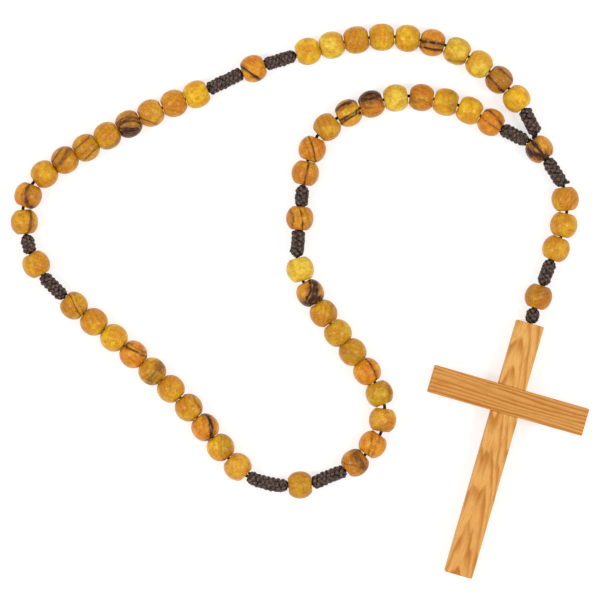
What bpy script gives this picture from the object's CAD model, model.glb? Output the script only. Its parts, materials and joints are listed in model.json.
"""Corded olive-wood rosary: the pieces that show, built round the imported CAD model."""

import json
import math
import random

import bmesh
import bpy
import numpy as np
from bpy.props import FloatProperty, FloatVectorProperty, IntProperty, PointerProperty
from mathutils import Matrix, Vector


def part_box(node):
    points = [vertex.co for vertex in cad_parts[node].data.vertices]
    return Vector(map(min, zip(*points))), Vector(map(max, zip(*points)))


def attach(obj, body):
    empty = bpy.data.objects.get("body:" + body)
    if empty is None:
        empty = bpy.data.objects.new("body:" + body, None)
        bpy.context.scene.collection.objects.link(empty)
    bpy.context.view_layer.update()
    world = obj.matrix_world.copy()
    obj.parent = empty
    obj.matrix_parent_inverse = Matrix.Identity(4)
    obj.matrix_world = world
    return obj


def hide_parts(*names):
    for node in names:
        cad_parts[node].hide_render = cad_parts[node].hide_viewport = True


bl_info = {
    "name": "Corded Rosary",
    "version": (1, 0, 0),
    "blender": (4, 5, 0),
    "location": "View3D > Sidebar > Rosary",
    "description": "Turned olive-wood beads, knotted cord sleeves and a lap-jointed cross",
    "category": "Object",
}

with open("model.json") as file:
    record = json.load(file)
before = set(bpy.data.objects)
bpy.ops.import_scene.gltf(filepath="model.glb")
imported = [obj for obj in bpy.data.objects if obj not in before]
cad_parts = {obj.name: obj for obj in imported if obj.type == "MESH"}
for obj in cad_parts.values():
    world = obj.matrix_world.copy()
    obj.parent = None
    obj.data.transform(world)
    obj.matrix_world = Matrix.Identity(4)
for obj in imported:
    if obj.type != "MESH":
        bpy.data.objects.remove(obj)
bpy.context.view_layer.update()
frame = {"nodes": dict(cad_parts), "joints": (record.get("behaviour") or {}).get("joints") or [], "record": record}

MM = 0.001
BEAD_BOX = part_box("drop_bead_2")
BEAD_D = round(BEAD_BOX[1].z - BEAD_BOX[0].z, 5)
CORD_Z = BEAD_D / 2
JOINT_AT = {j["name"]: Vector(j["pos_m"]) for j in frame["joints"]}
BODY_OF = {
    node: body
    for body, nodes in frame["record"]["behaviour"]["bodies"].items()
    for node in nodes
}

# The joints of the loop: both ends of every bead and sleeve in turn, in metres,
# from the centre bead round the five decades and back to it
LOOP_ROUTE = [
    (0.07075, 0.05), (0.06731, 0.05719), (0.06266, 0.06347), (0.05688, 0.0686),
    (0.05058, 0.07298), (0.04355, 0.07638), (0.036, 0.078), (0.02841, 0.079),
    (0.0207, 0.07867), (0.01321, 0.07736), (0.00592, 0.07558), (-0.00126, 0.07358),
    (-0.01052, 0.07071), (-0.01741, 0.06812), (-0.02755, 0.06314), (-0.03439, 0.06027),
    (-0.04134, 0.05766), (-0.04807, 0.0545), (-0.05459, 0.05106), (-0.061, 0.0475),
    (-0.06737, 0.04386), (-0.07372, 0.04002), (-0.08002, 0.0352), (-0.08307, 0.02749),
    (-0.0823, 0.01956), (-0.08103, 0.0141), (-0.07724, 0.00731), (-0.07073, 0.00088),
    (-0.06493, -0.0042), (-0.05878, -0.00888), (-0.05286, -0.01377), (-0.04714, -0.01885),
    (-0.0415, -0.024), (-0.03593, -0.02934), (-0.03084, -0.03518), (-0.02608, -0.04119),
    (-0.02147, -0.04741), (-0.01558, -0.05294), (-0.0038, -0.05582), (0.0038, -0.05513),
    (0.0135, -0.05122), (0.01951, -0.04644), (0.02419, -0.03999), (0.02536, -0.03192),
    (0.02237, -0.02456), (0.018, -0.0185), (0.01358, -0.01278), (0.00914, -0.00703),
    (0.00498, -0.00102), (0.00104, 0.00542), (-0.00096, 0.01298), (-0.00039, 0.02091),
    (0.00027, 0.0281), (0.00085, 0.03439), (0.00234, 0.04171), (0.00512, 0.04908),
    (0.011, 0.05448), (0.01793, 0.0576), (0.025, 0.06), (0.03256, 0.06122),
    (0.04014, 0.06025), (0.04743, 0.05847), (0.05415, 0.05524), (0.06044, 0.05141),
    (0.0681, 0.04755),
]
# The joints of the drop, from the centre bead to the top of the cross
DROP_ROUTE = [
    (0.07392, 0.04229), (0.07905, 0.03429), (0.08001, 0.02633), (0.07824, 0.01884),
    (0.07538, 0.012), (0.07261, 0.00445), (0.07041, -0.00246), (0.069, -0.007),
]
# The two ends of the loop's cord inside the centre bead, from its upper mouth
# to its lower one
CENTRE_TOP_STRAND = [(0.07434, 0.04260), (0.07011, 0.04842)]
CENTRE_LOW_STRAND = [(0.06926, 0.04780), (0.07349, 0.04198)]

# Each length of core cord: its CAD node, its route, and its first and last joint
CORE_CORDS = [
    ("core_cord_top", LOOP_ROUTE, 0, 11),
    ("core_cord_left", LOOP_ROUTE, 11, 24),
    ("core_cord_lower", LOOP_ROUTE, 24, 50),
    ("core_cord_inner", LOOP_ROUTE, 50, 53),
    ("core_cord_right", LOOP_ROUTE, 53, 64),
    ("drop_cord_1", DROP_ROUTE, 0, 1),
    ("drop_cord_2", DROP_ROUTE, 1, 4),
    ("drop_cord_3", DROP_ROUTE, 4, 5),
    ("drop_cord_4", DROP_ROUTE, 5, 6),
    ("drop_cord_5", DROP_ROUTE, 6, 7),
]
# A cord shorter than this isn't long enough to be declared
# The core cord's plies, and how far along it they go, in mm, for each radian of turn
CORE_PLIES = 3
PLY_LAY = 0.55

# Tone and dark streaks of every bead. A streak is a plane through the wood:
# heading and tilt of its normal in degrees, distance from the bead's middle
# and half width in mm, and depth of colour from 0 to 1.
DECADE_LOOKS = {
    1: [
        ("yellow", [(200, 0, 3.0, 0.9, 0.2)]),
        ("bronze", [(45, 0, -1.77, 0.32, 0.9), (47, 0, 2.3, 0.26, 0.75), (45, 0, 0.6, 1.5, 0.25)]),
        ("pale", []),
        ("pale", [(260, 0, 3.1, 0.25, 0.5)]),
        ("orange", [(83, 12, 0.4, 0.42, 0.95), (81, 5, -1.75, 0.3, 0.9), (82, 8, -0.8, 0.8, 0.35)]),
        ("yellow", [(0, 0, 3.0, 0.8, 0.25)]),
        ("yellow", [(180, 0, 2.8, 0.8, 0.25), (0, 0, 3.0, 0.7, 0.2)]),
        ("gold", []),
        ("pale", []),
        ("yellow", []),
    ],
    2: [
        ("yellow", []),
        ("amber", []),
        ("tan", [(250, 0, 2.5, 0.16, 0.65)]),
        ("bronze", [(-80, 55, 2.6, 0.35, 0.8), (-80, 50, 1.5, 0.3, 0.7), (-85, 30, 3.6, 0.9, 0.9)]),
        ("gold", [(-50, 0, 3.3, 0.5, 0.45)]),
        ("gold", [(135, 0, 1.6, 0.17, 0.65), (135, 0, -2.4, 0.22, 0.6), (135, 0, -0.8, 0.2, 0.3)]),
        ("amber", [(145, 10, 1.3, 0.4, 0.7), (145, 5, 2.8, 0.25, 0.65)]),
        ("gold", []),
        ("orange", [(0, 35, 1.98, 0.4, 0.8), (0, 35, 3.3, 1.0, 0.3)]),
        ("gold", [(172, 30, -0.12, 0.36, 0.7)]),
    ],
    3: [
        ("gold", [(27, 0, 0.35, 0.16, 0.75), (27, 0, 1.7, 0.13, 0.4), (27, 0, -2.6, 1.2, 0.25)]),
        ("gold", []),
        ("yellow", []),
        ("orange", [(63, 0, 1.3, 0.24, 0.75), (63, 0, 2.3, 0.15, 0.5)]),
        ("yellow", [(-35, 5, 1.5, 1.3, 0.6), (145, 0, 2.6, 0.2, 0.3)]),
        ("gold", []),
        ("gold", [(30, 0, 2.9, 0.14, 0.55)]),
        ("orange", [(190, 25, -0.24, 0.52, 0.98)]),
        ("yellow", [(5, 10, 1.1, 0.2, 0.5), (5, 10, 2.5, 1.1, 0.35)]),
        ("tan", []),
    ],
    4: [
        ("amber", [(30, 20, 2.5, 0.7, 0.65), (250, 10, 1.5, 0.2, 0.5)]),
        ("orange", [(165, 10, 1.3, 0.15, 0.55), (-20, 0, 1.0, 0.13, 0.45)]),
        ("tan", [(270, 0, 3.0, 0.8, 0.3)]),
        ("olive", [(0, 0, 3.1, 0.5, 0.4)]),
        ("orange", [(205, 22, -0.6, 0.26, 0.75)]),
        ("olive", [(240, 10, 1.4, 0.5, 0.25)]),
        ("olive", []),
        ("gold", [(-10, 0, 2.4, 0.8, 0.3)]),
        ("tan", [(165, 28, 0.5, 0.95, 1.0), (165, 28, 2.1, 0.36, 0.85), (-75, 0, 2.6, 0.9, 0.85)]),
        ("pale", []),
    ],
    5: [
        ("amber", [(-14, 0, 0.5, 0.2, 0.92)]),
        ("orange", [(15, 0, 0.05, 0.17, 0.8), (20, 0, -1.4, 0.25, 0.3)]),
        ("gold", [(200, 0, 3.2, 0.6, 0.2)]),
        (
            "yellow",
            [(120, 0, 2.7, 0.6, 0.85), (120, 0, -0.69, 0.24, 0.9), (120, 0, -1.65, 0.26, 0.85)],
        ),
        ("amber", [(100, 20, 3.4, 1.5, 0.85)]),
        ("pale", []),
        ("amber", [(250, 15, 1.8, 0.13, 0.4), (200, 0, 3.0, 0.6, 0.35)]),
        ("yellow", [(0, 0, 2.2, 1.1, 0.35)]),
        ("yellow", []),
        ("orange", [(220, 25, -0.37, 0.32, 0.75), (55, 0, -0.7, 0.11, 0.55)]),
    ],
}
SINGLE_LOOKS = {
    "centre_bead": (
        "tan",
        [(35, 0, -0.4, 0.42, 1.0), (72, 8, -1.35, 1.0, 1.0), (165, 0, 2.6, 0.8, 0.6)],
    ),
    "our_father_bead_1": ("orange", [(235, 0, 1.7, 0.3, 0.92)]),
    "our_father_bead_2": ("gold", []),
    "our_father_bead_3": ("gold", [(90, 0, 1.0, 2.2, 0.22)]),
    "our_father_bead_4": (
        "amber",
        [(190, 20, 0.68, 0.14, 0.8), (185, 20, 3.1, 0.13, 0.6), (20, 0, 2.2, 0.15, 0.35)],
    ),
    "our_father_bead_5": ("amber", [(90, 0, 1.4, 1.8, 0.3)]),
    "drop_bead_1": ("gold", [(-40, 0, 2.2, 0.2, 0.2)]),
    "drop_bead_2": ("gold", []),
    "drop_bead_3": ("gold", []),
}
DROP_BEADS = ["drop_bead_1", "drop_bead_2", "drop_bead_3"]
# Dents of a bead: depth as a share of its radius, and turns of them in radians
# to a metre along it
DENT_DEPTH = 0.003
DENT_RATE = 900
# Darkening by hands and oil towards a bead's mouths: where it starts and how far
# it takes, as shares of the radius, how deep it gets, and its powers in r, g, b
MOUTH_FROM = 0.74
MOUTH_OVER = 0.2
MOUTH_DEPTH = 0.86
MOUTH_POWERS = (1, 1.25, 1.6)
# Power of a bead's outline: 2 is a ball, and more is closer to a barrel
BALL_POWER = 2.12
BARREL_POWER = 2.3
# Beads turned as barrels: decade and place in it
BARREL_BEADS = {(1, 4), (1, 7), (1, 8), (2, 1), (5, 8), (5, 9)}
# Rounded rims of a bead's bore and of its face, in metres: how far back from the
# face, and how far out from the bore's radius or from the outline's at the face.
# RIM_DEPTH is where the rim starts
BORE_RIM = [(0.0004, 0.0), (0.00014, 0.00002), (0.00004, 0.00005), (0.0, 0.00009)]
FACE_RIM = [(0.0, -0.0001), (0.00002, -0.00004), (0.00006, 0.00002)]
RIM_DEPTH = 0.00014
# Pieces are this much clear of the table, so that no face lies in its plane
TABLE_GAP = 0.00001
# Width of bead that has to be left round a bore, room left between the rims of
# two beads that meet, and steps in which a bead is made shorter, in metres
LEAST_FACE = 0.0002
RIM_ROOM = 0.000025
SHORTER_BY = 0.00001

# How far a streak's dark core and its brown halo reach, as squares of its width
STREAK_CORE = 1.6
STREAK_HALO = 7.0

# Shape of the braid that a knotted sleeve is made of: strands to each hand,
# faces round a strand, and distance between its rings in metres
BRAID_STRANDS = 4
STRAND_SIDES = 8
STRAND_STEP = 0.00022
# How unevenly strands are laid: sway in radians and swell as a share of the
# radius, each with its turns in radians to a metre
STRAND_SWAY = (0.16, 900)
STRAND_SWELL = (0.05, 700)
# Each strand's fibres are read this much further along, in mm, than the last's
STRAND_SHIFT = 37.0
# Joints of the routes between which each sleeve lies
LOOP_SLEEVES = [
    (0, 1), (11, 12), (13, 14), (24, 25), (26, 27),
    (37, 38), (39, 40), (50, 51), (52, 53), (63, 64),
]
DROP_SLEEVES = [(0, 1), (4, 5), (6, 7)]
# Room between a sleeve's end and the bead next to it, in metres
SLEEVE_GAP = 0.00022
# How far a sleeve closes at an end, as a share of its radius, and over what length
BLUNT_NOSE = (0.42, 0.00038)
ROUND_NOSE = (0.56, 0.0008)
# Ends of sleeves, first or last, that the cord folds at: these have a round nose
FOLDING_ENDS = {2: (0,), 4: (0,), 8: (0,), 9: (1,), 11: (0, 1), 12: (0, 1), 13: (0, 1)}
# Sideways bow of a sleeve's middle, in metres
BOWED = {6: -0.0006, 4: 0.0002, 2: 0.0002, 7: 0.0002}
# Sleeves with a cut end of cord standing off them: where along the sleeve, from
# 0 to 1, and the heading in degrees that it points to
LOOSE_ENDS = {11: (0.93, 15), 8: (0.12, 165)}

CROSS_TOP = JOINT_AT["cross_swing"]
# Distance from the upright's top to the middle of the arm, in metres
LAP_AT = 0.024
# Depth and diameter of the blind bore in the upright's top, in metres
BLIND_BORE = (0.012, 0.0024)

SOFTBOX_SIZE = (0.2, 0.24)
SOFTBOXES = {"left": (-0.55, -0.06, 0.85), "right": (0.55, -0.06, 0.85)}
# Half the width of the table, in metres
TABLE_HALF = 1.5


# --- Geometry


def srgb(r, g, b):
    """Linear colour of a surface that reads r, g, b from 0 to 255 on a screen."""
    return tuple(((c / 255 + 0.055) / 1.055) ** 2.4 if c > 10 else c / 3294 for c in (r, g, b))


def unit(v):
    return v / np.linalg.norm(v)


def heading_vector(heading, tilt=0.0):
    """Direction by its heading in the table's plane and its tilt up from it."""
    h, t = math.radians(heading), math.radians(tilt)
    return np.array([math.cos(h) * math.cos(t), math.sin(h) * math.cos(t), math.sin(t)])


def add_object(name, data):
    made = bpy.data.objects.new(name, data)
    bpy.context.scene.collection.objects.link(made)
    return made


def new_piece(name, verts, faces, material, smooth=True):
    mesh = bpy.data.meshes.new(name)
    mesh.from_pydata([tuple(v) for v in verts], [], [tuple(f) for f in faces])
    mesh.update()
    mesh.polygons.foreach_set("use_smooth", [smooth] * len(mesh.polygons))
    mesh.materials.append(material)
    return add_object(name, mesh)


def set_vectors(piece, name, values):
    """Stores one vector per vertex for the materials to read."""
    layer = piece.data.attributes.new(name, "FLOAT_VECTOR", "POINT")
    values = np.broadcast_to(np.asarray(values, np.float32), (len(piece.data.vertices), 3))
    layer.data.foreach_set("vector", values.ravel())


def vertices_of(piece):
    co = np.empty(len(piece.data.vertices) * 3, np.float32)
    piece.data.vertices.foreach_get("co", co)
    return co.reshape(-1, 3)


def cad_vertices(node):
    return vertices_of(frame["nodes"][node]).astype(float)


def lay_grain(piece, heart, across, along):
    """Stores where every vertex lies in the log, in mm: away from its heart
    along x and y, and along its fibres on z."""
    along = unit(np.asarray(along, float))
    across = np.asarray(across, float)
    across = unit(across - along * (across @ along))
    axes = np.stack([across, np.cross(along, across), along], 1)
    set_vectors(piece, "grain", (vertices_of(piece) - heart) @ axes / MM)


def tube(path, radii, sides, normals=None, flat=1.0, close=0.6, raised=0.0):
    """Vertices, faces and marks of a tube swept along path, with a domed cap at
    both ends. flat is its thickness along normals as a share of its width. The
    marks are distance along, turn round, and raised: how far it stands out."""
    path = np.asarray(path, float)
    n = len(path)
    radii = np.broadcast_to(np.asarray(radii, float), n)
    ahead = np.gradient(path, axis=0)
    ahead /= np.linalg.norm(ahead, axis=1)[:, None]
    if normals is None:
        normals = np.tile([0.0, 0.0, 1.0], (n, 1))
    normals = normals - ahead * (normals * ahead).sum(1)[:, None]
    normals /= np.linalg.norm(normals, axis=1)[:, None]
    side = np.cross(ahead, normals)
    angle = np.arange(sides) * 2 * math.pi / sides
    ring = side[:, None] * np.cos(angle)[None, :, None]
    ring = ring + normals[:, None] * (flat * np.sin(angle))[None, :, None]
    body = path[:, None] + ring * radii[:, None, None]
    first = path[0] - ahead[0] * radii[0] * close
    last = path[-1] + ahead[-1] * radii[-1] * close
    # Each cap has one ring of shoulders between the tube and its tip
    shoulder_a = path[0] - ahead[0] * radii[0] * close * 0.75 + ring[0] * radii[0] * 0.66
    shoulder_b = path[-1] + ahead[-1] * radii[-1] * close * 0.75 + ring[-1] * radii[-1] * 0.66
    rings = np.concatenate([shoulder_a[None], body, shoulder_b[None]])
    verts = np.concatenate([rings.reshape(-1, 3), [first, last]])
    along = np.concatenate([[0], np.cumsum(np.linalg.norm(np.diff(path, axis=0), axis=1))])
    along = np.concatenate([[0], along, [along[-1]]])
    turn = np.tile(np.arange(sides) / sides, n + 2)
    raised = np.pad(np.broadcast_to(raised, n), 1, "edge")
    marks = np.stack([np.repeat(along, sides), turn, np.repeat(raised, sides)], 1)
    marks = np.concatenate([marks, [[0, 0, raised[0]], [along[-1], 0, raised[-1]]]])
    faces = []
    for i in range(n + 1):
        for k in range(sides):
            a, b = i * sides + k, i * sides + (k + 1) % sides
            faces.append((a, b, b + sides, a + sides))
    end = (n + 1) * sides
    for k in range(sides):
        faces.append(((k + 1) % sides, k, len(verts) - 2))
        faces.append((end + k, end + (k + 1) % sides, len(verts) - 1))
    return verts, faces, marks


def join_tubes(name, tubes, material):
    """One piece made of several tubes, with their marks as its thread layer."""
    verts, faces, marks, start = [], [], [], 0
    for number, (v, f, m) in enumerate(tubes):
        verts.append(v)
        faces += [tuple(i + start for i in face) for face in f]
        m = m.copy()
        m[:, 0] = m[:, 0] / MM + number * STRAND_SHIFT
        marks.append(m)
        start += len(v)
    piece = new_piece(name, np.concatenate(verts), faces, material)
    set_vectors(piece, "thread", np.concatenate(marks))
    return piece


def smooth_line(points, steps):
    """Points along a smooth curve through all of points, steps to each span."""
    p = [np.asarray(q, float) for q in points]
    line = []
    for i in range(len(p) - 1):
        a, b, c, d = p[max(i - 1, 0)], p[i], p[i + 1], p[min(i + 2, len(p) - 1)]
        for k in range(steps):
            t = k / steps
            square, cube = 2 * a - 5 * b + 4 * c - d, 3 * (b - c) + d - a
            line.append(b + 0.5 * t * ((c - a) + t * (square + t * cube)))
    return np.array(line + [p[-1]])


def route_points(route, first, last):
    """Joints first to last of a route, at the height of the cord."""
    return [np.array([x, y, CORD_Z]) for x, y in route[first:last + 1]]


def mount(piece, node):
    """Puts piece in the place of a CAD node, on the body that it rides on."""
    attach(piece, BODY_OF[node])
    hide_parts(node)


# --- Materials


# Colours that are mixed into the woods' own tones
BRIGHT_GOLD = srgb(252, 210, 70)
SAND_GOLD = srgb(252, 214, 70)
SAND_BROWN = srgb(134, 80, 12)
SPECK_BROWN = srgb(122, 70, 12)
HALO_BROWN = srgb(132, 74, 16)
LATE_BROWN = srgb(158, 88, 18)
# Tints that their tones are multiplied by
DEEP_TINT = srgb(222, 188, 130)
BLUSH_TINT = srgb(228, 184, 120)
CLOUD_TINT = srgb(240, 215, 186)
SAND_TINT = srgb(226, 206, 178)


class Shading:
    """Adds shader nodes to one new material and joins them up."""

    def __init__(self, name):
        self.material = bpy.data.materials.new(name)
        self.material.use_nodes = True
        self.tree = self.material.node_tree
        self.shader = self.tree.nodes["Principled BSDF"]

    def put(self, socket, value):
        if isinstance(value, bpy.types.NodeSocket):
            self.tree.links.new(value, socket)
        elif socket.type == "RGBA" and len(value) == 3:
            socket.default_value = (*value, 1)
        else:
            socket.default_value = value

    def add(self, kind, inputs=(), out=0, **settings):
        node = self.tree.nodes.new("ShaderNode" + kind)
        for name, value in settings.items():
            setattr(node, name, value)
        for key, value in dict(inputs).items():
            self.put(node.inputs[key], value)
        return node.outputs[out]

    def math(self, operation, a, b=0.0, c=0.0, clamp=False):
        return self.add("Math", {0: a, 1: b, 2: c}, operation=operation, use_clamp=clamp)

    def times(self, a, b):
        return self.math("MULTIPLY", a, b)

    def vector(self, operation, a, b=(0.0, 0.0, 0.0)):
        out = 1 if operation == "LENGTH" else 0
        return self.add("VectorMath", {0: a, 1: b}, out, operation=operation)

    def drawn(self, grain, share):
        """Place in the log with its run along the fibres cut to a share of it."""
        return self.vector("MULTIPLY", grain, (1, 1, share))

    def noise(self, at, scale, detail=2.0, roughness=0.5, out="Fac"):
        inputs = {"Vector": at, "Scale": scale, "Detail": detail, "Roughness": roughness}
        return self.add("TexNoise", inputs, out)

    def fit(self, value, low, high, to_low=0.0, to_high=1.0):
        """value taken smoothly from low..high to to_low..to_high."""
        inputs = {
            "Value": value, "From Min": low, "From Max": high, "To Min": to_low, "To Max": to_high,
        }
        return self.add("MapRange", inputs, interpolation_type="SMOOTHSTEP")

    def mix(self, share, a, b, blend="MIX"):
        return self.add("Mix", {0: share, 6: a, 7: b}, 2, data_type="RGBA", blend_type=blend)

    def layer(self, name):
        return self.add("Attribute", out="Vector", attribute_name=name)

    def split(self, vector):
        """The three parts of a vector."""
        node = self.tree.nodes.new("ShaderNodeSeparateXYZ")
        self.put(node.inputs[0], vector)
        return tuple(node.outputs)

    def surface(self, colour, roughness, height, depth, **constants):
        """Joins colour, roughness and a bump of that depth in metres."""
        self.put(self.shader.inputs["Base Color"], colour)
        self.put(self.shader.inputs["Roughness"], roughness)
        bump = self.add("Bump", {"Height": height, "Distance": depth})
        self.put(self.shader.inputs["Normal"], bump)
        for name, value in constants.items():
            self.shader.inputs[name.replace("_", " ")].default_value = value
        return self.material


def olive_wood(name, settings, ring_pitch, ring_depth):
    """Oiled olive wood: wandering growth rings, short dark fibres and streaks."""
    s = Shading(name)
    grain = s.layer("grain")
    fibres = s.drawn(grain, 0.22)
    wander = s.times(s.noise(fibres, 0.5, 3.0), 11.0)
    reach = s.vector("LENGTH", s.drawn(grain, 0))
    rings = s.math("ADD", s.times(reach, 2 * math.pi / ring_pitch), wander)
    rings = s.fit(s.math("SINE", rings), -1.0, 1.0)
    mottle = s.noise(grain, 0.55, 3.0)
    speck = s.noise(s.drawn(grain, 0.45), 2.6, 4.0, 0.7)
    tone = s.layer("tone")
    deep = s.mix(1.0, tone, DEEP_TINT, "MULTIPLY")
    bright = s.mix(0.3, tone, BRIGHT_GOLD)
    blush = s.mix(1.0, tone, BLUSH_TINT, "MULTIPLY")
    colour = s.mix(s.fit(mottle, 0.32, 0.66), deep, s.mix(0.12, tone, bright))
    colour = s.mix(s.fit(s.noise(grain, 0.2, 1.0), 0.44, 0.58), colour, blush)
    colour = s.mix(s.times(rings, ring_depth), colour, bright)
    colour = s.mix(s.fit(speck, 0.5, 0.7, 0.0, 0.5), colour, SPECK_BROWN)
    colour = s.mix(s.fit(speck, 0.32, 0.46, 0.4, 0.0), colour, bright)
    sand = s.noise(grain, 4.6, 2.0, 0.7)
    colour = s.mix(s.fit(sand, 0.5, 0.66, 0.0, 0.45), colour, SAND_BROWN)
    colour = s.mix(s.fit(sand, 0.34, 0.46, 0.45, 0.0), colour, SAND_GOLD)
    # Dark streaks: each plane wobbles with the grain and fades at its edges
    wobble = s.vector("SUBTRACT", s.noise(fibres, 0.6, 3.0, out="Color"), (0.5, 0.5, 0.5))
    away = s.vector("ADD", s.layer("streak_at"), s.vector("MULTIPLY", wobble, (1.5, 1.5, 1.5)))
    away = s.vector("DIVIDE", away, s.layer("streak_width"))
    frayed = s.fit(s.noise(fibres, 1.1, 3.0), 0.32, 0.68, 0.6, 1.5)
    away = s.vector("MULTIPLY", away, s.add("CombineXYZ", {0: frayed, 1: frayed, 2: frayed}))
    away = s.vector("MULTIPLY", away, away)
    patchy = s.fit(s.noise(fibres, 1.6, 3.0), 0.2, 0.62, 0.6, 1.2)
    # Only deep streaks are near black in their core; the halo round it is brown
    layers = (
        (STREAK_HALO, "MULTIPLY", 0.7, HALO_BROWN),
        (STREAK_CORE, "POWER", 1.8, tuple(settings.streak_colour)),
    )
    for reach, operation, amount, shade in layers:
        faded = s.vector("DIVIDE", away, (reach, reach, reach))
        dark = s.vector("SUBTRACT", (1.3, 1.3, 1.3), faded)
        dark = s.vector("MINIMUM", s.vector("MAXIMUM", dark), (1, 1, 1))
        first, second, third = s.split(s.vector("MULTIPLY", dark, s.layer("streak_depth")))
        darkest = s.math("MAXIMUM", s.math("MAXIMUM", first, second), third)
        share = s.math("MULTIPLY", darkest, patchy, clamp=True)
        colour = s.mix(s.math(operation, share, amount), colour, shade)
    gloss = settings.gloss_roughness
    roughness = s.fit(speck, 0.3, 0.8, gloss - 0.04, gloss + 0.14)
    return s.surface(
        colour, roughness, s.math("SUBTRACT", s.times(rings, 0.3), speck), 0.00003,
        Coat_Weight=0.1, Coat_Roughness=0.2, IOR=1.4, Specular_IOR_Level=0.32,
    )


def twisted_cord(name, settings, plies, depth):
    """Waxed cord twisted from plies, paler where it is rubbed and fluffy. depth
    is the bump of its plies, in metres."""
    colour, tip_colour = tuple(settings.colour), tuple(settings.tip_colour)
    s = Shading(name)
    thread = s.layer("thread")
    along, turn, raised = s.split(thread)
    turn = s.times(turn, 2 * math.pi * plies)
    twist = s.math("ADD", s.times(along, 7.5), turn)
    ply = s.fit(s.math("SINE", twist), -1.0, 0.9)
    fluff = s.noise(s.vector("MULTIPLY", thread, (2.2, 6.0, 7.3)), 1.7, 3.0, 0.6)
    outermost = s.fit(raised, -0.3, 1.0)
    rubbed = s.times(s.fit(fluff, 0.38, 0.58, 0.2, 1.0), outermost)
    shade = s.mix(s.times(rubbed, s.fit(ply, 0.0, 1.0, 0.45, 1.0)), colour, tip_colour)
    height = s.math("ADD", ply, s.times(fluff, 0.7))
    return s.surface(
        shade, s.fit(fluff, 0.3, 0.7, 0.4, 0.62), height, depth,
        Sheen_Weight=0.04, Sheen_Roughness=0.4, IOR=1.4, Specular_IOR_Level=0.22,
    )


def honey_wood(name, settings, pitch, wander_rings, contrast, depth):
    """Smooth pale wood in long boards: growth rings that the saw cut through,
    fine pores along the grain, and clouds. depth is how far its tone goes from
    pale to the rings' colour all over."""
    s = Shading(name)
    grain = s.layer("grain")
    drawn = s.drawn(grain, 0.09)
    wander = s.noise(drawn, 0.3, 2.0, 0.4)
    reach = s.vector("LENGTH", s.drawn(grain, 0))
    phase = s.math("ADD", s.math("DIVIDE", reach, pitch), s.times(wander, wander_rings))
    saw = s.math("FRACT", phase)
    late = s.times(s.fit(saw, 0.25, 0.84), s.fit(saw, 0.84, 1.0, 1.0, 0.0))
    strong = s.fit(s.noise(drawn, 0.5, 2.0), 0.3, 0.6, 0.35, 1.0)
    pores = s.noise(s.drawn(grain, 0.07), 2.4, 4.0, 0.7)
    sand = s.noise(grain, 3.4, 2.0, 0.6)
    cloud = s.noise(drawn, 0.16, 2.0)
    pale = s.mix(depth, tuple(settings.pale_colour), tuple(settings.ring_colour))
    ring = s.mix(depth, tuple(settings.ring_colour), LATE_BROWN)
    colour = s.mix(s.times(s.times(late, strong), contrast), pale, ring)
    colour = s.mix(s.fit(pores, 0.48, 0.7, 0.0, 0.6), colour, ring)
    for share, tint in (
        (s.fit(cloud, 0.35, 0.65, 0.0, 0.4), CLOUD_TINT),
        (s.fit(sand, 0.3, 0.7, 0.0, 0.35), SAND_TINT),
    ):
        colour = s.mix(share, colour, s.mix(1.0, colour, tint, "MULTIPLY"))
    height = s.math("ADD", s.times(pores, 0.7), s.times(sand, 0.3))
    return s.surface(
        colour, s.fit(pores, 0.3, 0.7, 0.5, 0.62), height, 0.00004,
        Coat_Weight=0.04, Coat_Roughness=0.35, IOR=1.46, Specular_IOR_Level=0.3,
    )


# --- Settings


def colour_setting(name, description, *screen):
    """A colour setting that defaults to what a screen shows as r, g, b up to 255."""
    return FloatVectorProperty(
        name=name, description=description, subtype="COLOR", size=3, default=srgb(*screen)
    )


def length_setting(name, description, default):
    return FloatProperty(name=name, description=description, default=default, unit="LENGTH")


class RosaryStageSettings(bpy.types.PropertyGroup):
    lens: FloatProperty(
        name="Lens", description="Focal length of the camera, in mm", default=300.0, min=50.0
    )
    view_size: length_setting("View Size", "Width of the view at the height of the cord", 0.18)
    softbox_power: FloatProperty(
        name="Softbox Power", description="Power of each softbox, in watts", default=2.4
    )
    sky_strength: FloatProperty(
        name="Sky Strength", description="Brightness of the white surroundings", default=0.78
    )
    floor_colour: FloatVectorProperty(
        name="Floor Colour", description="Colour of the table",
        subtype="COLOR", size=3, default=(0.5, 0.5, 0.5),
    )
    floor_glow: FloatProperty(
        name="Floor Glow", description="Light that comes through the table from below", default=0.6
    )


class RosaryBeadSettings(bpy.types.PropertyGroup):
    diameter: length_setting("Diameter", "Diameter of a bead", BEAD_D)
    bore: length_setting("Bore", "Diameter of a bead's bore", 0.0024)
    segments: IntProperty(name="Segments", description="Faces round a bead", default=64, min=16)
    gloss_roughness: FloatProperty(
        name="Roughness", description="Roughness of the oiled wood", default=0.32
    )
    streak_colour: colour_setting("Streak Colour", "Colour of dark heartwood streaks", 50, 24, 12)
    pale: colour_setting("Pale", "Sapwood, pale yellow", 232, 200, 62)
    yellow: colour_setting("Yellow", "Yellow wood", 235, 186, 12)
    gold: colour_setting("Gold", "Golden wood", 214, 155, 6)
    olive: colour_setting("Olive", "Greenish yellow wood", 210, 166, 14)
    amber: colour_setting("Amber", "Amber wood", 208, 138, 4)
    orange: colour_setting("Orange", "Orange wood", 226, 146, 8)
    tan: colour_setting("Tan", "Light tan wood", 222, 161, 40)
    bronze: colour_setting("Bronze", "Brown heartwood", 182, 117, 12)


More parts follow.
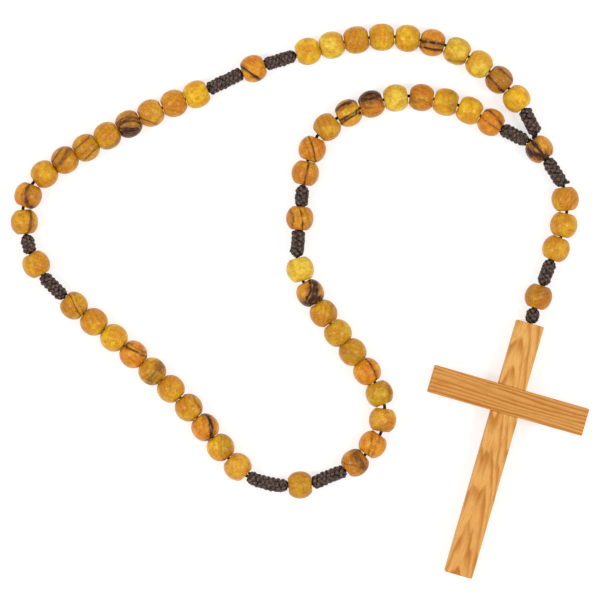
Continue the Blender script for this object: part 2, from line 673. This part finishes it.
class RosaryCordSettings(bpy.types.PropertyGroup):
    diameter: length_setting("Diameter", "Diameter of the core cord", 0.001)
    sleeve_radius: length_setting("Braid Radius", "Radius of the braid's middle", 0.00129)
    strand_radius: length_setting("Strand Radius", "Half the width of one braided strand", 0.00055)
    relief: length_setting("Relief", "How far a strand rises and dips where strands cross", 0.0004)
    knot_pitch: length_setting("Knot Pitch", "Distance between the knots of one column", 0.0014)
    colour: colour_setting("Colour", "Colour of the waxed cord", 13, 6, 5)
    tip_colour: colour_setting("Rubbed Colour", "Colour of its rubbed fibres", 122, 100, 90)


class RosaryCrossSettings(bpy.types.PropertyGroup):
    upright: length_setting("Upright", "Length of the upright", 0.0784)
    arm: length_setting("Arm", "Length of the arm", 0.048)
    width: length_setting("Width", "Width of both bars", 0.0084)
    thickness: length_setting("Thickness", "Thickness of both bars", 0.0083)
    edge: length_setting("Edge", "Rounding of the edges", 0.0003)
    pale_colour: colour_setting("Pale Colour", "Wood between the rings", 226, 170, 90)
    ring_colour: colour_setting("Ring Colour", "Wood of the rings", 184, 114, 32)


# --- Stage


class ROSARY_OT_stage(bpy.types.Operator):
    """Makes the camera, the softboxes, the white surroundings and the table."""

    bl_idname = "rosary.stage"
    bl_label = "Stage"

    def execute(self, context):
        settings = context.scene.rosary_stage
        scene = context.scene
        scene.view_settings.view_transform = "Standard"

        data = bpy.data.cameras.new("rosary_camera")
        data.sensor_width = 36
        data.lens = settings.lens
        data.clip_start = 0.01
        camera = add_object("rosary_camera", data)
        camera.location = (0, 0, CORD_Z + settings.view_size * settings.lens / data.sensor_width)
        scene.camera = camera

        for name, place in SOFTBOXES.items():
            light = bpy.data.lights.new("softbox_" + name, "AREA")
            light.shape = "RECTANGLE"
            light.size, light.size_y = SOFTBOX_SIZE
            light.energy = settings.softbox_power
            box = add_object("softbox_" + name, light)
            box.location = place
            box.rotation_euler = (-box.location).to_track_quat("-Z", "Y").to_euler()

        world = bpy.data.worlds.new("white_surroundings")
        world.use_nodes = True
        sky = world.node_tree.nodes["Background"]
        sky.inputs["Color"].default_value = (1, 1, 1, 1)
        sky.inputs["Strength"].default_value = settings.sky_strength
        scene.world = world

        s = Shading("matt_white_table")
        paper = s.noise(s.add("TexCoord", out="Object"), 900.0, 3.0)
        flecks = s.fit(paper, 0.3, 0.7, 0.0, 0.04)
        colour = s.mix(flecks, tuple(settings.floor_colour), (0.4, 0.4, 0.4))
        s.surface(
            colour, s.fit(paper, 0.3, 0.7, 0.85, 0.95), paper, 0.00001,
            Emission_Color=(1, 1, 1, 1), Emission_Strength=settings.floor_glow,
            Specular_IOR_Level=0.1,
        )
        half = TABLE_HALF
        corners = [(-half, -half, 0), (half, -half, 0), (half, half, 0), (-half, half, 0)]
        new_piece("table_top", corners, [(0, 1, 2, 3)], s.material, smooth=False)
        return {"FINISHED"}


# --- Cords


class ROSARY_OT_core_cords(bpy.types.Operator):
    """Makes the twisted core cord that runs through every bead and sleeve."""

    bl_idname = "rosary.core_cords"
    bl_label = "Core Cords"

    def execute(self, context):
        settings = context.scene.rosary_cord
        material = twisted_cord("core cord", settings, CORE_PLIES, 0.00006)
        for node, route, first, last in CORE_CORDS:
            points = route_points(route, first, last)
            if node == "core_cord_top":
                points = route_points(CENTRE_TOP_STRAND, 0, 1) + points
            if node == "core_cord_right":
                points += route_points(CENTRE_LOW_STRAND, 0, 1)
            line = smooth_line(points, 16)
            sides, radius = 12, settings.diameter / 2
            verts, faces, marks = tube(line, radius, sides)
            # The section has a lobe for each ply, and they turn along the cord
            middle = np.concatenate([line[:1], line, line[-1:]]).repeat(sides, 0)
            turn = 2 * math.pi * marks[:-2, 1] + marks[:-2, 0] / (PLY_LAY * MM)
            turn = CORE_PLIES * turn
            verts[:-2] = middle + (verts[:-2] - middle) * (0.93 + 0.07 * np.cos(turn))[:, None]
            piece = join_tubes("twisted_" + node, [(verts, faces, marks)], material)
            mount(piece, node)
        end = frame["nodes"]["cross_cord_end"]
        end.data.materials.clear()
        end.data.materials.append(material)
        return {"FINISHED"}


# --- Beads


def bead_profile(settings, half, power):
    """Outline of one half of a bead, as (distance along the bore, radius) pairs
    from the middle of its bore over its mouth to its widest girth."""
    radius, bore = settings.diameter / 2 - TABLE_GAP, settings.bore / 2

    def girth(x):
        return radius * (1 - (x / radius) ** power) ** (1 / power)

    mouth = girth(half)
    inside = [(0, bore), (half * 0.5, bore)]
    inside += [(half - back, bore + out) for back, out in BORE_RIM]
    edge = [(half - back, mouth + out) for back, out in FACE_RIM]
    outside = [(half - RIM_DEPTH) * math.cos(k / 16 * math.pi / 2) for k in range(17)]
    return inside + edge + [(x, girth(x)) for x in outside]


def bead_shape(co, ahead):
    """Middle of the ball that a CAD bead is cut from, and how far the bead goes
    before and after it. co are the CAD bead's vertices."""
    rough = (co.min(0) + co.max(0)) / 2
    outer = co[np.linalg.norm(co - rough, axis=1) > 0.85 * CORD_Z] - rough
    system = np.column_stack([2 * outer, np.ones(len(outer))])
    middle = rough + np.linalg.lstsq(system, (outer**2).sum(1), rcond=None)[0][:3]
    reach = (co - middle) @ ahead
    return middle, -reach.min(), reach.max()


def meeting_half(room, turn, settings, power):
    """Half length of a bead that meets another one: room is how far its joint
    is and turn half the bend there, in radians, so that the rims just clear."""
    radius, half = settings.diameter / 2, room
    while half > radius * 0.8:
        rim = radius * max(0.0, 1 - (half / radius) ** power) ** (1 / power)
        wide_enough = rim >= settings.bore / 2 + LEAST_FACE
        if wide_enough and half + rim * math.tan(turn) <= room - RIM_ROOM:
            break
        half -= SHORTER_BY
    return half


def turned_bead(
    name, co, ahead, settings, material, look, rng, power=BALL_POWER, meets=(None, None)
):
    """A bead turned on a lathe, slightly uneven, with its wood's tone and streaks.
    meets holds, for each end that meets another bead, the joint and half its bend."""
    middle, *halves = bead_shape(co, ahead)
    for end, meeting in enumerate(meets):
        if meeting:
            joint, turn = meeting
            half = meeting_half(np.linalg.norm(joint - middle), turn, settings, power)
            halves[end] = max(halves[end], half)
    first, last = halves
    profile = bead_profile(settings, last, power)
    profile += [(-x, r) for x, r in reversed(bead_profile(settings, first, power)[1:-1])]
    rows, sides = len(profile), settings.segments
    angle = np.arange(sides) * 2 * math.pi / sides
    side = np.cross([0, 0, 1.0], ahead)
    up = np.cross(ahead, side)
    phase, sway = rng.uniform(0, 6.28), rng.uniform(0, 6.28)
    verts = np.empty((rows, sides, 3))
    for i, (x, r) in enumerate(profile):
        dents = 1 + np.cos(2 * angle + phase) * math.cos(x * DENT_RATE + sway)
        uneven = 1 - DENT_DEPTH * dents * (r > settings.bore)
        ring = side[None] * np.cos(angle)[:, None] + up[None] * np.sin(angle)[:, None]
        verts[i] = middle + ahead * x + ring * (r * uneven)[:, None]
    faces = []
    for i in range(rows):
        j = (i + 1) % rows
        for k in range(sides):
            m = (k + 1) % sides
            faces.append((i * sides + k, j * sides + k, j * sides + m, i * sides + m))
    piece = new_piece(name, verts.reshape(-1, 3), faces, material)
    tone_name, streaks = look
    tone = np.array(getattr(settings, tone_name)) * rng.uniform(0.95, 1.05)
    here = (vertices_of(piece) - middle) / MM
    ends = np.clip((np.abs(here @ ahead) / (CORD_Z / MM) - MOUTH_FROM) / MOUTH_OVER, 0, 1)
    light = (1 - MOUTH_DEPTH * ends * ends)[:, None] ** MOUTH_POWERS
    set_vectors(piece, "tone", tone[None] * light)
    streaks = list(streaks) + [(0, 0, 9.0, 1.0, 0.0)] * (3 - len(streaks))
    away = [here @ heading_vector(h, t) - d for h, t, d, w, s in streaks]
    set_vectors(piece, "streak_at", np.stack(away, 1))
    set_vectors(piece, "streak_width", [w for h, t, d, w, s in streaks])
    set_vectors(piece, "streak_depth", [s for h, t, d, w, s in streaks])
    heading = streaks[0][0] if look[1] else rng.uniform(0, 360)
    tilt = streaks[0][1] if look[1] else rng.uniform(-40, 40)
    across = heading_vector(heading, tilt)
    along = heading_vector(heading + 90 + rng.uniform(-12, 12), rng.uniform(-15, 15))
    heart = middle - across * rng.uniform(9, 18) * MM - along * rng.uniform(-40, 40) * MM
    lay_grain(piece, heart, across, along)
    return piece


def half_bends(joints):
    """Half the bend at each joint of a chain, in radians."""
    ahead = [unit(b - a) for a, b in zip(joints, joints[1:])]
    inner = [math.acos(min(1.0, float(a @ b))) / 2 for a, b in zip(ahead, ahead[1:])]
    return [0.0, *inner, 0.0]


def bead_solids(node, spans):
    """Vertices of each solid of a node that holds one bead to each span."""
    co = cad_vertices(node)
    guess = np.array([(a + b) / 2 for a, b in spans])
    owner = np.argmin(np.linalg.norm(co[:, None] - guess[None], axis=2), axis=1)
    return [co[owner == i] for i in range(len(spans))]


class ROSARY_OT_decade_beads(bpy.types.Operator):
    """Makes the fifty beads of the five decades."""

    bl_idname = "rosary.decade_beads"
    bl_label = "Decade Beads"

    def execute(self, context):
        settings = context.scene.rosary_bead
        material = olive_wood("olive wood", settings, 1.5, 0.2)
        rng = random.Random(11)
        for decade, looks in DECADE_LOOKS.items():
            start = 1 + (decade - 1) * 13
            joints = route_points(LOOP_ROUTE, start, start + 10)
            spans = list(zip(joints, joints[1:]))
            bends = half_bends(joints)
            group = f"decade_{decade}_beads"
            grouped = group in frame["nodes"]
            solids = bead_solids(group, spans) if grouped else []
            for i, (a, b) in enumerate(spans, 1):
                name = f"decade_{decade}_bead_{i}"
                node = group if grouped else name
                co = solids[i - 1] if grouped else cad_vertices(name)
                power = BARREL_POWER if (decade, i) in BARREL_BEADS else BALL_POWER
                before = (a, bends[i - 1]) if i > 1 else None
                after = (b, bends[i]) if i < len(looks) else None
                bead = turned_bead(
                    "turned_" + name, co, unit(b - a), settings, material, looks[i - 1], rng,
                    power, (before, after),
                )
                mount(bead, node)
        return {"FINISHED"}


class ROSARY_OT_single_beads(bpy.types.Operator):
    """Makes the centre bead, the five single beads and the drop's three beads."""

    bl_idname = "rosary.single_beads"
    bl_label = "Single Beads"

    def execute(self, context):
        settings = context.scene.rosary_bead
        material = olive_wood("dark-figured olive wood", settings, 1.1, 0.2)
        rng = random.Random(23)
        for name, look in SINGLE_LOOKS.items():
            axis = next(j["axis"] for j in frame["joints"] if j["child"] == name)
            ahead = unit(np.array(axis, float))
            co = cad_vertices(name)
            meets = (None, None)
            if name in DROP_BEADS:
                i = DROP_BEADS.index(name)
                joints = route_points(DROP_ROUTE, 1, 1 + len(DROP_BEADS))
                bends = half_bends(joints)
                meets = tuple(
                    (joints[k], bends[k]) if 0 < k < len(DROP_BEADS) else None for k in (i, i + 1)
                )
            bead = turned_bead(
                "turned_" + name, co, ahead, settings, material, look, rng, meets=meets
            )
            mount(bead, name)
        return {"FINISHED"}


# --- Sleeves


def braided_sleeve(name, a, b, number, settings, material, rng):
    """Cord tied tightly round the core cord between a and b: eight strands that
    pass over and under each other, so that knots stand in eight columns."""
    ahead = unit(b - a)
    side = np.array([-ahead[1], ahead[0], 0.0])
    up = np.array([0.0, 0.0, 1.0])
    length = float(np.linalg.norm(b - a)) - 2 * SLEEVE_GAP
    knots = max(2, round(length / settings.knot_pitch))
    rate = math.pi / 2 / (length / knots)
    lean = rng.uniform(0, 1.57)
    tubes = []

    def middle_at(t):
        bow = BOWED.get(number, 0.0) * (1 - (2 * t / length - 1) ** 2)
        return a + np.outer(SLEEVE_GAP + t, ahead) + np.outer(bow, side)

    for hand in (1, -1):
        for j in range(BRAID_STRANDS):
            wide = settings.strand_radius * rng.uniform(0.92, 1.08)
            sway, swell = rng.uniform(0, 6.28), rng.uniform(0, 6.28)
            turns = rate * length
            steps = int(math.hypot(turns * settings.sleeve_radius, length) / STRAND_STEP)
            t = np.linspace(0, length, steps)
            angle = hand * rate * t + j * math.pi / 2 + lean
            angle = angle + STRAND_SWAY[0] * np.sin(t * STRAND_SWAY[1] + sway)
            over = hand * np.cos(4 * rate * t)
            swelling = STRAND_SWELL[0] * np.sin(t * STRAND_SWELL[1] + swell)
            radius = settings.sleeve_radius * (1 + swelling)
            radius = radius + settings.relief * over
            for end, nearest in enumerate((t, length - t)):
                shut, reach = ROUND_NOSE if end in FOLDING_ENDS.get(number, ()) else BLUNT_NOSE
                radius *= 1 - shut * np.exp(-((nearest / reach) ** 2))
            out = np.outer(np.cos(angle), side) + np.outer(np.sin(angle), up)
            thickness = wide * (1 + 0.1 * over)
            thickness = thickness * np.clip(radius / settings.sleeve_radius * 1.25, 0.5, 1)
            path = middle_at(t) + out * radius[:, None]
            tubes.append(tube(path, thickness, STRAND_SIDES, out, flat=0.82, raised=over))
    # Lining that closes the holes between the strands
    t = np.linspace(0.0002, length - 0.0002, 24)
    tubes.append(tube(middle_at(t), settings.sleeve_radius * 0.8, 16, raised=-1.0))
    if number in LOOSE_ENDS:
        share, heading = LOOSE_ENDS[number]
        root = a + ahead * (SLEEVE_GAP + share * length)
        out = heading_vector(heading, 12)
        bend = heading_vector(heading - 40, 0)
        t = np.linspace(0, 1, 9)[:, None]
        path = root + out * (0.001 + 0.0009 * t) + bend * 0.0003 * t * t
        tubes.append(tube(path, np.linspace(0.00055, 0.00048, 9), STRAND_SIDES, raised=0.6))
    return join_tubes(name, tubes, material)


class ROSARY_OT_sleeves(bpy.types.Operator):
    """Makes the thirteen knotted sleeves."""

    bl_idname = "rosary.sleeves"
    bl_label = "Knotted Sleeves"

    def execute(self, context):
        settings = context.scene.rosary_cord
        material = twisted_cord("knotted cord", settings, 2, 0.00008)
        rng = random.Random(5)
        spans = [(LOOP_ROUTE, *span) for span in LOOP_SLEEVES]
        spans += [(DROP_ROUTE, *span) for span in DROP_SLEEVES]
        for number, (route, first, last) in enumerate(spans, 1):
            a, b = route_points(route, first, last)
            name = f"knotted_sleeve_{number}"
            piece = braided_sleeve(name, a, b, number, settings, material, rng)
            mount(piece, f"cord_sleeve_{number}")
        return {"FINISHED"}


# --- Cross


def drill_bit(depth, diameter):
    """A rod along x at the height of the cord, from just before x = 0 to depth."""
    bm = bmesh.new()
    turn = Matrix.Rotation(math.pi / 2, 4, "Y")
    bmesh.ops.create_cone(
        bm, cap_ends=True, segments=32, radius1=diameter / 2, radius2=diameter / 2,
        depth=depth + 0.002, matrix=Matrix.Translation((depth / 2 - 0.001, 0, CORD_Z)) @ turn,
    )
    mesh = bpy.data.meshes.new("drill")
    bm.to_mesh(mesh)
    bm.free()
    return add_object("drill", mesh)


def board(name, outline, width, settings, material, place, bore=None):
    """A straight bar: an outline in its long plane, made width thick, with
    rounded edges. place turns it into place. bore is a blind bore's depth and
    diameter."""
    bm = bmesh.new()
    near = [bm.verts.new((x, -width / 2, z)) for x, z in outline]
    far = [bm.verts.new((x, width / 2, z)) for x, z in outline]
    n = len(outline)
    bm.faces.new(near)
    bm.faces.new(list(reversed(far)))
    for i in range(n):
        j = (i + 1) % n
        bm.faces.new((near[j], near[i], far[i], far[j]))
    bmesh.ops.recalc_face_normals(bm, faces=bm.faces)
    mesh = bpy.data.meshes.new(name)
    bm.to_mesh(mesh)
    bm.free()
    mesh.materials.append(material)
    piece = add_object(name, mesh)
    drill = drill_bit(*bore) if bore else None
    if drill:
        cut = piece.modifiers.new("drill", "BOOLEAN")
        cut.object = drill
        cut.operation = "DIFFERENCE"
    soften = piece.modifiers.new("edges", "BEVEL")
    soften.width = settings.edge
    soften.segments = 3
    soften.limit_method = "ANGLE"
    bpy.context.view_layer.update()
    graph = bpy.context.evaluated_depsgraph_get()
    made = bpy.data.meshes.new_from_object(piece.evaluated_get(graph))
    piece.modifiers.clear()
    piece.data = made
    if drill:
        bpy.data.objects.remove(drill)
    made.transform(place)
    made.polygons.foreach_set("use_smooth", [True] * len(made.polygons))
    made.set_sharp_from_angle(angle=math.radians(35))
    return piece


class ROSARY_OT_cross(bpy.types.Operator):
    """Makes the cross: an upright and an arm halved into each other."""

    bl_idname = "rosary.cross"
    bl_label = "Cross"

    def execute(self, context):
        settings = context.scene.rosary_cross
        foot = sum(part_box("cross_upright"), Vector()) / 2 - CROSS_TOP
        heading = math.atan2(foot.y, foot.x)
        place = Matrix.Translation((CROSS_TOP.x, CROSS_TOP.y, 0)) @ Matrix.Rotation(heading, 4, "Z")
        w, t, low = settings.width, settings.thickness, TABLE_GAP
        length, arm = settings.upright, settings.arm
        near, far = LAP_AT - w / 2, LAP_AT + w / 2
        outline = [
            (0, low), (length, low), (length, t), (far, t),
            (far, t / 2), (near, t / 2), (near, t), (0, t),
        ]
        wood = honey_wood("upright wood", settings, 1.0, 2.1, 0.95, 0.0)
        upright = board("cross_upright_wood", outline, w, settings, wood, place, BLIND_BORE)
        quarter = Matrix.Translation((LAP_AT, 0, 0)) @ Matrix.Rotation(math.pi / 2, 4, "Z")
        outline = [
            (-arm / 2, low), (-w / 2, low), (-w / 2, t / 2), (w / 2, t / 2),
            (w / 2, low), (arm / 2, low), (arm / 2, t), (-arm / 2, t),
        ]
        wood = honey_wood("arm wood", settings, 1.05, 3.0, 1.0, 0.3)
        crossbar = board("cross_arm_wood", outline, w, settings, wood, place @ quarter)
        ahead = np.array([math.cos(heading), math.sin(heading), 0.0])
        side = np.array([-ahead[1], ahead[0], 0.0])
        top = np.array(CROSS_TOP)
        # The upright is sawn through the log's heart, so its rings make long arches
        heart = top + ahead * 0.058 - side * 0.0012 - np.array([0, 0, 0.001])
        lay_grain(upright, heart, side, ahead + side * 0.035 + np.array([0, 0, 0.09]))
        # The arm is sawn well beside the heart, so its rings run nearly straight
        heart = top + ahead * (LAP_AT - 0.042) - np.array([0, 0, 0.018])
        lay_grain(crossbar, heart, ahead, side + ahead * 0.012)
        mount(upright, "cross_upright")
        mount(crossbar, "cross_arm")
        return {"FINISHED"}


# --- Add-on

STEPS = (
    ROSARY_OT_stage,
    ROSARY_OT_core_cords,
    ROSARY_OT_decade_beads,
    ROSARY_OT_single_beads,
    ROSARY_OT_sleeves,
    ROSARY_OT_cross,
)
SETTINGS = {
    "rosary_stage": RosaryStageSettings,
    "rosary_bead": RosaryBeadSettings,
    "rosary_cord": RosaryCordSettings,
    "rosary_cross": RosaryCrossSettings,
}


class VIEW3D_PT_rosary(bpy.types.Panel):
    """Lists the steps that make the rosary, and their settings."""

    bl_idname = "VIEW3D_PT_rosary"
    bl_label = "Rosary"
    bl_space_type = "VIEW_3D"
    bl_region_type = "UI"
    bl_category = "Rosary"

    def draw(self, context):
        column = self.layout.column()
        for step in STEPS:
            column.operator(step.bl_idname)
        for name, group in SETTINGS.items():
            box = self.layout.box()
            for setting in group.__annotations__:
                box.prop(getattr(context.scene, name), setting)


CLASSES = (*SETTINGS.values(), *STEPS, VIEW3D_PT_rosary)


def register():
    for cls in CLASSES:
        bpy.utils.register_class(cls)
    for name, group in SETTINGS.items():
        setattr(bpy.types.Scene, name, PointerProperty(type=group))


def unregister():
    for name in SETTINGS:
        delattr(bpy.types.Scene, name)
    for cls in reversed(CLASSES):
        bpy.utils.unregister_class(cls)


def main():
    register()
    bpy.ops.rosary.stage()
    bpy.ops.rosary.core_cords()
    bpy.ops.rosary.decade_beads()
    bpy.ops.rosary.single_beads()
    bpy.ops.rosary.sleeves()
    bpy.ops.rosary.cross()


if __name__ == "__main__":
    main()
